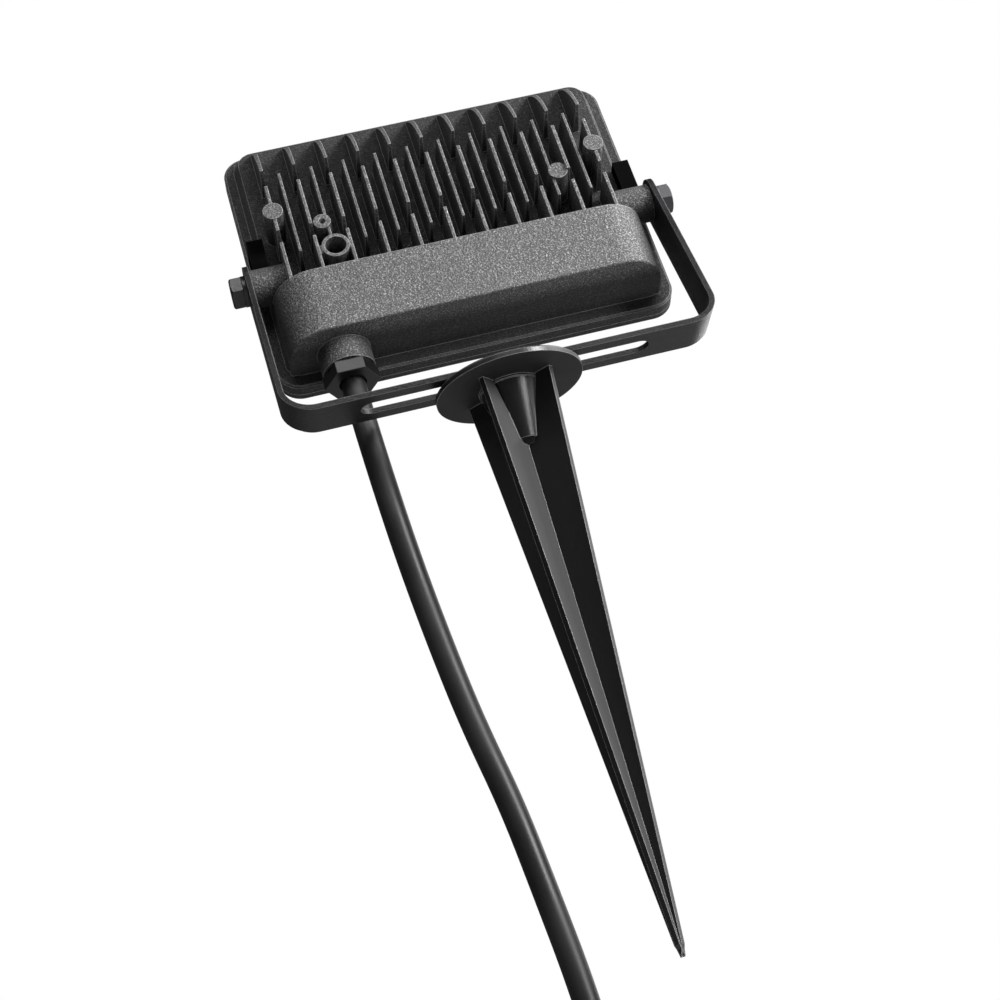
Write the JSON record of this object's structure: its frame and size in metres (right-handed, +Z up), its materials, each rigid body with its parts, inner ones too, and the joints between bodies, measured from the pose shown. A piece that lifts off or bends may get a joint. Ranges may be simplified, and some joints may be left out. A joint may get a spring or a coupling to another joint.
{
  "type": "garden spike spotlight",
  "caption": "Outdoor LED floodlight head with cooling fins, hinged in a bent U bracket on a ground spike, with a rubber supply cord.",
  "frame": {"origin": "centre of the ground disc's underside, on the spike's axis, at ground level", "axes": "+Z up out of the ground, the spike points along -Z; the lamp's glass faces -Y and its fins +Y; the tilt axis lies along X"},
  "size_m": [0.1506, 0.0625, 0.4455],
  "materials": {
    "black_plastic": "smooth moulded black plastic",
    "coated_steel": "black powder coat, fine grain",
    "cord_rubber": "matt black rubber",
    "tie_plastic": "matt black strap",
    "plug_rubber": "matt black moulded rubber",
    "plug_brass": "nickel plated",
    "coated_casting": "black powder coat over die-cast aluminium, coarse grain",
    "clear_glass": "clear toughened",
    "seal_rubber": "soft silicone",
    "white_sheet": "white reflector sheet",
    "board_metal": "white solder mask on aluminium",
    "led_phosphor": "yellow phosphor",
    "bright_steel": "zinc plated",
    "board_laminate": "green laminate",
    "wound_ferrite": "ferrite core with taped winding",
    "capacitor_sleeve": "sleeved aluminium can",
    "terminal_plastic": "white moulded block",
    "vent_plastic": "porous membrane plug",
    "gland_plastic": "smooth black nylon",
    "dark_steel": "black oxide"
  },
  "bodies": {
    "spike": {"ground_spike": "black_plastic", "base_washer": "dark_steel", "base_spring_washer": "dark_steel", "base_screw": "dark_steel"},
    "bracket": {"bracket": "coated_steel", "supply_cord": "cord_rubber", "cord_coil": "cord_rubber", "coil_tie": "tie_plastic", "plug_body": "plug_rubber", "plug_contacts": "plug_brass"},
    "head": {"housing": "coated_casting", "front_frame": "coated_casting", "front_glass": "clear_glass", "glass_gasket": "seal_rubber", "reflector": "white_sheet", "led_board": "board_metal", "led_chips": "led_phosphor", "board_screws": "bright_steel", "driver_board": "board_laminate", "driver_transformer": "wound_ferrite", "driver_capacitor": "capacitor_sleeve", "terminal_block": "terminal_plastic", "earth_screw": "bright_steel", "breather_plug": "vent_plastic", "gland_seal": "seal_rubber", "gland_nut": "gland_plastic", "pivot_bolt_left": "dark_steel", "pivot_bolt_right": "dark_steel", "pivot_washer_left": "dark_steel", "pivot_washer_right": "dark_steel", "side_clip_left": "gland_plastic", "side_clip_right": "gland_plastic", "supply_cord_upper": "cord_rubber"}
  },
  "joints": [
    {"name": "swivel", "type": "hinge", "parent": "spike", "child": "bracket", "pos_m": [0, 0, 0], "axis": [0, 0, 1], "continuous": true},
    {"name": "tilt", "type": "hinge", "parent": "bracket", "child": "head", "pos_m": [0, -0.02038, 0.056], "axis": [1, 0, 0], "range_deg": [-99, 10], "deforming": ["supply_cord_upper"]}
  ]
}
